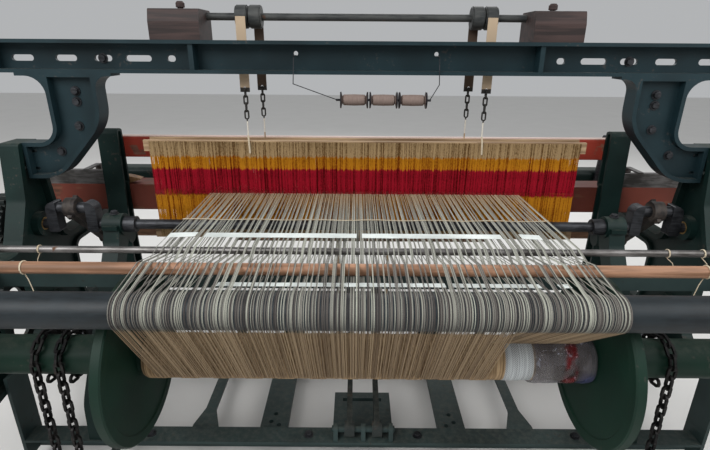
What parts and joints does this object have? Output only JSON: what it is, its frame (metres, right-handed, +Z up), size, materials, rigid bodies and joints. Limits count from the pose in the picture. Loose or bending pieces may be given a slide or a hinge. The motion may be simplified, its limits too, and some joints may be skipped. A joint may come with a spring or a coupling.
{
  "type": "power loom",
  "caption": "Shuttle power loom with warp beam, whip roll, two knitted healds, swinging sley with reed, cranked shaft, tappets and take-up, in cast side frames under an arched top rail.",
  "frame": {"origin": "middle of the floor footprint, under the centre of the loom", "axes": "+X across the loom to the pulley side, +Y from the warp beam to the weaver, +Z up"},
  "size_m": [3, 1.402, 1.6095],
  "materials": {
    "frame_green": "old green machine enamel, chipped and oily",
    "rail_teal": "dark blue-green enamel",
    "floor_green": "pale grey-green enamel under lint",
    "oily_steel": "dark oily steel",
    "bright_steel": "worn bright steel",
    "whip_grey": "dark blue-grey pipe, polished by yarn",
    "flange_green": "green enamel",
    "cast_dark": "dark cast iron",
    "chain_black": "black oily chain",
    "bronze": "bearing bronze",
    "block_wood": "oily brown wood",
    "rod_wood": "pale hand-worn wood",
    "stick_wood": "hard wood",
    "sley_wood": "red-brown painted wood",
    "red_wood": "brick red paint on wood",
    "roller_wood": "greenish wood",
    "heald_yarn": "knitted cotton healds in bands",
    "rig_wood": "stave wood, leather straps and cord",
    "warp_yarn": "cotton warp",
    "cloth_cotton": "plain woven cotton",
    "spool_yarn": "beige thread on dark spools",
    "beam_yarn": "wound tan yarn",
    "lath_white": "white lath"
  },
  "bodies": {
    "loom_frame": {"side_frame_left": "frame_green", "side_frame_right": "frame_green", "top_rail": "rail_teal", "arch_bracket_left": "rail_teal", "arch_bracket_right": "rail_teal", "breast_beam": "frame_green", "back_cross_rail": "floor_green", "front_cross_rail": "frame_green", "back_tie_bar": "floor_green", "floor_bars": "floor_green", "crank_bearings": "frame_green", "shaft_bushes": "bronze", "rocker_pedestals": "frame_green", "whip_brackets": "frame_green", "roller_blocks": "block_wood", "steel_lease_rod": "bright_steel", "wooden_lease_rod": "rod_wood", "warp_lath": "lath_white", "let_off_chains": "chain_black", "warp_sheet": "warp_yarn", "cloth": "cloth_cotton", "spool_hanger": "oily_steel"},
    "crank": {"crankshaft": "oily_steel", "crank_gear": "cast_dark", "fast_pulley": "bright_steel", "handwheel": "frame_green"},
    "loose_pulley": {"loose_pulley": "bright_steel"},
    "arm_left": {"crank_arm_left": "stick_wood"},
    "arm_right": {"crank_arm_right": "stick_wood"},
    "tappets": {"tappet_shaft": "cast_dark", "tappet_gear": "cast_dark"},
    "sley": {"rocking_shaft": "oily_steel", "sley_swords": "frame_green", "sley_beam": "sley_wood", "reed": "bright_steel", "hand_rail": "red_wood", "shuttle_boxes": "bright_steel"},
    "stick_left": {"picking_stick_left": "stick_wood"},
    "stick_right": {"picking_stick_right": "stick_wood"},
    "heald_back": {"heald_back": "heald_yarn", "heald_back_rig": "rig_wood"},
    "heald_front": {"heald_front": "heald_yarn", "heald_front_rig": "rig_wood"},
    "heald_roller": {"heald_roller": "roller_wood"},
    "treadle_back": {"treadle_back": "cast_dark"},
    "treadle_front": {"treadle_front": "cast_dark"},
    "warp_beam": {"beam_barrel": "flange_green", "beam_flanges": "flange_green", "yarn_roll": "beam_yarn"},
    "whip_roll": {"whip_roll": "whip_grey"},
    "take_up": {"take_up_roller": "bright_steel"},
    "cloth_roller": {"cloth_roller": "rod_wood"},
    "lever_left": {"weight_lever_left": "cast_dark"},
    "lever_right": {"weight_lever_right": "cast_dark"},
    "handle": {"stop_handle": "oily_steel"},
    "spool_1": {"yarn_spool_1": "spool_yarn"},
    "spool_2": {"yarn_spool_2": "spool_yarn"},
    "spool_3": {"yarn_spool_3": "spool_yarn"},
    "shuttle": {"shuttle": "stick_wood"}
  },
  "joints": [
    {"name": "crank_turn", "type": "hinge", "parent": "loom_frame", "child": "crank", "pos_m": [0, 0.1, 0.816], "axis": [1, 0, 0], "continuous": true},
    {"name": "loose_pulley_turn", "type": "hinge", "parent": "crank", "child": "loose_pulley", "pos_m": [1.444, 0.1, 0.816], "axis": [1, 0, 0], "continuous": true},
    {"name": "arm_left_turn", "type": "hinge", "parent": "crank", "child": "arm_left", "pos_m": [-1.115, 0.1, 0.882], "axis": [1, 0, 0], "continuous": true},
    {"name": "arm_right_turn", "type": "hinge", "parent": "crank", "child": "arm_right", "pos_m": [1.115, 0.1, 0.882], "axis": [1, 0, 0], "continuous": true},
    {"name": "tappet_turn", "type": "hinge", "parent": "loom_frame", "child": "tappets", "pos_m": [0, 0.1, 0.48], "axis": [1, 0, 0], "continuous": true},
    {"name": "sley_swing", "type": "hinge", "parent": "loom_frame", "child": "sley", "pos_m": [0, 0.36, 0.11], "axis": [1, 0, 0], "range_deg": [-6.5, 6.5]},
    {"name": "stick_left_swing", "type": "hinge", "parent": "sley", "child": "stick_left", "pos_m": [-1.35, 0.41, 0.19], "axis": [0, 1, 0], "range_deg": [0, 11]},
    {"name": "stick_right_swing", "type": "hinge", "parent": "sley", "child": "stick_right", "pos_m": [1.35, 0.41, 0.19], "axis": [0, -1, 0], "range_deg": [0, 11]},
    {"name": "shuttle_slide", "type": "slide", "parent": "sley", "child": "shuttle", "axis": [1, 0, 0], "range_m": [-0.142, 0.35]},
    {"name": "roller_turn", "type": "hinge", "parent": "loom_frame", "child": "heald_roller", "pos_m": [0, 0.19, 1.562], "axis": [1, 0, 0], "range_deg": [-60, 60]},
    {"name": "heald_back_slide", "type": "slide", "parent": "loom_frame", "child": "heald_back", "axis": [0, 0, 1], "range_m": [-0.0411, 0.0411]},
    {"name": "heald_front_slide", "type": "slide", "parent": "loom_frame", "child": "heald_front", "axis": [0, 0, 1], "range_m": [-0.0411, 0.0411]},
    {"name": "treadle_back_swing", "type": "hinge", "parent": "loom_frame", "child": "treadle_back", "pos_m": [0, -0.262, 0.158], "axis": [1, 0, 0], "range_deg": [-6, 6]},
    {"name": "treadle_front_swing", "type": "hinge", "parent": "loom_frame", "child": "treadle_front", "pos_m": [0, -0.262, 0.158], "axis": [1, 0, 0], "range_deg": [-4.5, 4.5]},
    {"name": "warp_beam_turn", "type": "hinge", "parent": "loom_frame", "child": "warp_beam", "pos_m": [0, -0.447, 0.608], "axis": [1, 0, 0], "continuous": true},
    {"name": "whip_roll_turn", "type": "hinge", "parent": "loom_frame", "child": "whip_roll", "pos_m": [0, -0.647, 0.876], "axis": [1, 0, 0], "continuous": true},
    {"name": "take_up_turn", "type": "hinge", "parent": "loom_frame", "child": "take_up", "pos_m": [0, 0.645, 0.775], "axis": [1, 0, 0], "continuous": true},
    {"name": "cloth_roller_turn", "type": "hinge", "parent": "loom_frame", "child": "cloth_roller", "pos_m": [0, 0.61, 0.6], "axis": [1, 0, 0], "continuous": true},
    {"name": "lever_left_lift", "type": "hinge", "parent": "loom_frame", "child": "lever_left", "pos_m": [-0.9, -0.258, 0.086], "axis": [-1, 0, 0], "range_deg": [0, 4]},
    {"name": "lever_right_lift", "type": "hinge", "parent": "loom_frame", "child": "lever_right", "pos_m": [0.9, -0.258, 0.086], "axis": [-1, 0, 0], "range_deg": [0, 4]},
    {"name": "handle_swing", "type": "hinge", "parent": "loom_frame", "child": "handle", "pos_m": [1.12, 0.581, 0.825], "axis": [0, 1, 0], "range_deg": [0, 25]},
    {"name": "spool_1_turn", "type": "hinge", "parent": "loom_frame", "child": "spool_1", "pos_m": [0, 0.06, 1.294], "axis": [1, 0, 0], "continuous": true},
    {"name": "spool_2_turn", "type": "hinge", "parent": "loom_frame", "child": "spool_2", "pos_m": [0, 0.06, 1.294], "axis": [1, 0, 0], "continuous": true},
    {"name": "spool_3_turn", "type": "hinge", "parent": "loom_frame", "child": "spool_3", "pos_m": [0, 0.06, 1.294], "axis": [1, 0, 0], "continuous": true}
  ],
  "couplings": [
    {"joint": "arm_left_turn", "follows": "crank_turn", "ratio": -1},
    {"joint": "arm_right_turn", "follows": "crank_turn", "ratio": -1},
    {"joint": "tappet_turn", "follows": "crank_turn", "ratio": -0.5},
    {"joint": "roller_turn", "follows": "treadle_front_swing", "ratio": 13.141},
    {"joint": "heald_back_slide", "follows": "treadle_front_swing", "m_per_rad": -0.49277},
    {"joint": "heald_front_slide", "follows": "treadle_front_swing", "m_per_rad": 0.49277},
    {"joint": "treadle_back_swing", "follows": "treadle_front_swing", "ratio": -1.1984},
    {"joint": "cloth_roller_turn", "follows": "take_up_turn", "ratio": 0.83636}
  ]
}
